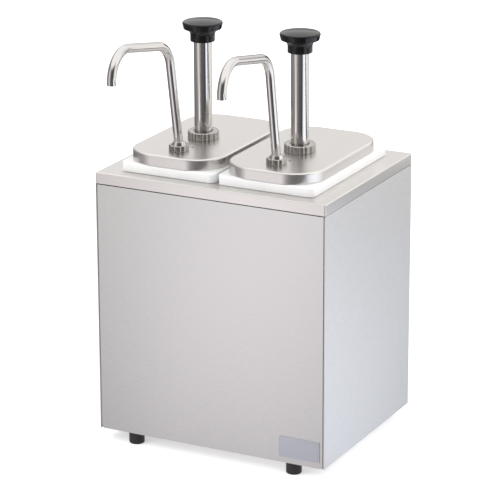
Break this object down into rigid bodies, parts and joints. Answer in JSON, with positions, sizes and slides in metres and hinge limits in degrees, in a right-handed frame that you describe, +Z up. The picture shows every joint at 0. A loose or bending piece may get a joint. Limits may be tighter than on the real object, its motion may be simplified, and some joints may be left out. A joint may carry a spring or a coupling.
{
  "type": "condiment pump dispenser",
  "caption": "Steel countertop cabinet with side-by-side lift-out jars, each with a lid, a knob-topped plunger pump and an overhanging bent spout that swivels.",
  "frame": {"origin": "on the surface that the feet stand on, below the centre of the cabinet's footprint", "axes": "+Z up, -Y towards the front that the spouts reach over, +X to the right seen from the front"},
  "size_m": [0.312, 0.3671, 0.5367],
  "materials": {
    "deck_steel": "satin, brushed",
    "panel_steel": "brushed along its width",
    "bare_steel": "bare",
    "polished_steel": "polished",
    "lid_steel": "satin, drawn",
    "spring_steel": "drawn wire",
    "foot_rubber": "matt",
    "seal_rubber": "smooth",
    "badge_foil": "satin, blank",
    "jar_plastic": "smooth",
    "knob_plastic": "polished",
    "bush_plastic": "natural",
    "valve_plastic": "natural"
  },
  "bodies": {
    "cabinet": {"top_deck": "deck_steel", "left_side_panel": "panel_steel", "right_side_panel": "panel_steel", "front_panel": "panel_steel", "back_panel": "panel_steel", "back_panel_screws": "bare_steel", "bottom_pan": "bare_steel", "deck_centre_brace": "bare_steel", "rubber_feet": "foot_rubber", "foot_screws": "bare_steel", "foot_washers": "bare_steel", "foot_nuts": "bare_steel", "badge_plate": "badge_foil"},
    "left_jar_body": {"left_jar": "jar_plastic"},
    "left_pump": {"left_lid": "lid_steel", "left_locking_collar": "polished_steel", "left_guide_bushing": "bush_plastic", "left_pump_cylinder": "polished_steel", "left_cylinder_gasket": "seal_rubber", "left_return_spring": "spring_steel", "left_valve_body": "valve_plastic", "left_ball_stop_pin": "bare_steel", "left_inlet_seat": "bare_steel", "left_riser_tube": "polished_steel", "left_discharge_fitting": "polished_steel", "left_spout_o_ring": "seal_rubber", "left_fitting_gasket": "seal_rubber", "left_spout_nut": "polished_steel"},
    "left_plunger": {"left_knob": "knob_plastic", "left_plunger_tube": "polished_steel", "left_piston": "valve_plastic", "left_piston_seal": "seal_rubber"},
    "left_spout": {"left_spout_tube": "polished_steel", "left_spout_ferrule": "polished_steel"},
    "left_inlet_check": {"left_inlet_ball": "polished_steel"},
    "left_outlet_check": {"left_outlet_ball": "polished_steel"},
    "right_jar_body": {"right_jar": "jar_plastic"},
    "right_pump": {"right_lid": "lid_steel", "right_locking_collar": "polished_steel", "right_guide_bushing": "bush_plastic", "right_pump_cylinder": "polished_steel", "right_cylinder_gasket": "seal_rubber", "right_return_spring": "spring_steel", "right_valve_body": "valve_plastic", "right_ball_stop_pin": "bare_steel", "right_inlet_seat": "bare_steel", "right_riser_tube": "polished_steel", "right_discharge_fitting": "polished_steel", "right_spout_o_ring": "seal_rubber", "right_fitting_gasket": "seal_rubber", "right_spout_nut": "polished_steel"},
    "right_plunger": {"right_knob": "knob_plastic", "right_plunger_tube": "polished_steel", "right_piston": "valve_plastic", "right_piston_seal": "seal_rubber"},
    "right_spout": {"right_spout_tube": "polished_steel", "right_spout_ferrule": "polished_steel"},
    "right_inlet_check": {"right_inlet_ball": "polished_steel"},
    "right_outlet_check": {"right_outlet_ball": "polished_steel"}
  },
  "joints": [
    {"name": "left_jar_lift", "type": "slide", "parent": "cabinet", "child": "left_jar_body", "axis": [0, 0, 1], "range_m": [0, 0.24]},
    {"name": "left_pump_lift", "type": "slide", "parent": "left_jar_body", "child": "left_pump", "axis": [0, 0, 1], "range_m": [0, 0.23]},
    {"name": "left_plunger_press", "type": "slide", "parent": "left_pump", "child": "left_plunger", "axis": [0, 0, -1], "range_m": [0, 0.095], "stiffness_N_per_m": 300, "springref_m": -0.03, "deforming": ["left_return_spring"]},
    {"name": "left_spout_swivel", "type": "hinge", "parent": "left_pump", "child": "left_spout", "pos_m": [-0.0665, -0.0745, 0.38], "axis": [0, 0, 1], "range_deg": [-60, 20]},
    {"name": "left_inlet_ball_lift", "type": "slide", "parent": "left_pump", "child": "left_inlet_check", "axis": [0, 0, 1], "range_m": [0, 0.0034]},
    {"name": "left_outlet_ball_lift", "type": "slide", "parent": "left_pump", "child": "left_outlet_check", "axis": [0, 0, 1], "range_m": [0, 0.003]},
    {"name": "right_jar_lift", "type": "slide", "parent": "cabinet", "child": "right_jar_body", "axis": [0, 0, 1], "range_m": [0, 0.24]},
    {"name": "right_pump_lift", "type": "slide", "parent": "right_jar_body", "child": "right_pump", "axis": [0, 0, 1], "range_m": [0, 0.23]},
    {"name": "right_plunger_press", "type": "slide", "parent": "right_pump", "child": "right_plunger", "axis": [0, 0, -1], "range_m": [0, 0.095], "stiffness_N_per_m": 300, "springref_m": -0.03, "deforming": ["right_return_spring"]},
    {"name": "right_spout_swivel", "type": "hinge", "parent": "right_pump", "child": "right_spout", "pos_m": [0.0665, -0.0745, 0.38], "axis": [0, 0, 1], "range_deg": [-23, 56]},
    {"name": "right_inlet_ball_lift", "type": "slide", "parent": "right_pump", "child": "right_inlet_check", "axis": [0, 0, 1], "range_m": [0, 0.0034]},
    {"name": "right_outlet_ball_lift", "type": "slide", "parent": "right_pump", "child": "right_outlet_check", "axis": [0, 0, 1], "range_m": [0, 0.003]}
  ]
}
